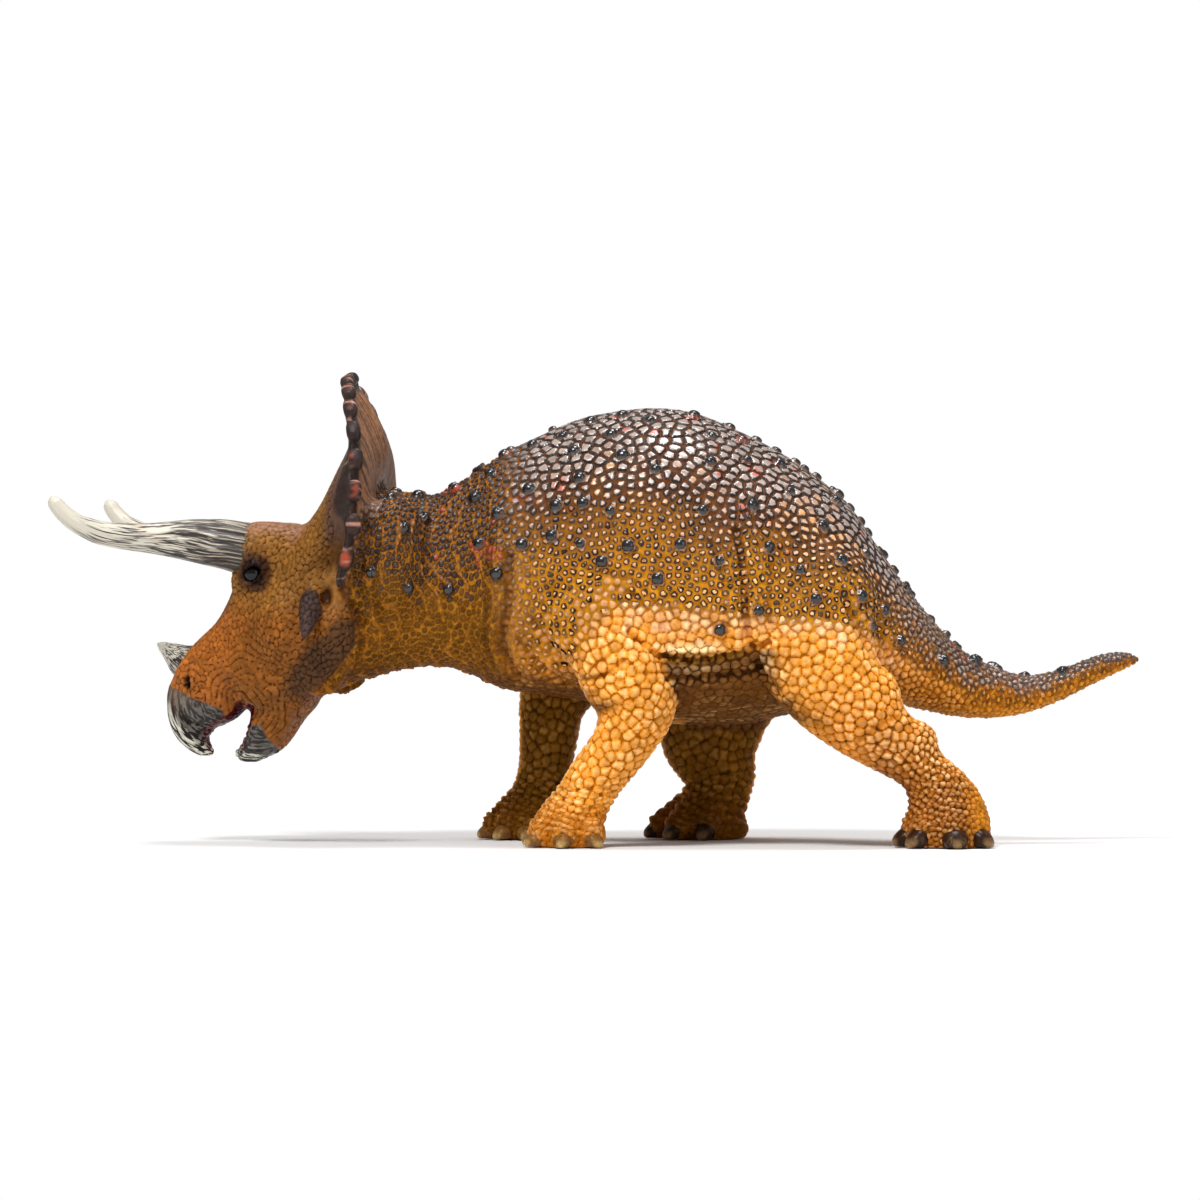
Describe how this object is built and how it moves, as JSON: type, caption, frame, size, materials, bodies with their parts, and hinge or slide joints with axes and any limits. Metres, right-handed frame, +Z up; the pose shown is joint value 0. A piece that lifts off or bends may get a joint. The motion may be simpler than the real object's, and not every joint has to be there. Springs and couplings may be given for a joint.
{
  "type": "toy dinosaur figure",
  "caption": "Moulded toy figure of a horned, frilled plant-eating dinosaur, walking with its head lowered and its mouth open.",
  "frame": {"origin": "on the ground under the middle of the figure's bounding box", "axes": "+X towards the tail, -Y to the animal's left, +Z up"},
  "size_m": [0.2206, 0.0596, 0.0959],
  "materials": {
    "body_hide": "satin painted soft PVC, dark on the back and orange on the flanks, wash in the scale grooves",
    "leg_hide": "satin painted soft PVC, orange yellow scales",
    "head_hide": "satin painted soft PVC, red brown with a dark beak and frill rim",
    "horn": "ivory with fine dark streaks along the horn",
    "eye": "glossy black bead"
  },
  "bodies": {
    "root": {"torso_left_shell": "body_hide", "torso_right_shell": "body_hide", "tail": "body_hide", "head": "head_hide", "lower_jaw": "head_hide", "frill": "head_hide", "front_leg_left": "leg_hide", "front_leg_right": "leg_hide", "hind_leg_left": "leg_hide", "hind_leg_right": "leg_hide", "brow_horn_left": "horn", "brow_horn_right": "horn", "nose_horn": "horn", "eye_left": "eye", "eye_right": "eye"}
  },
  "joints": []
}
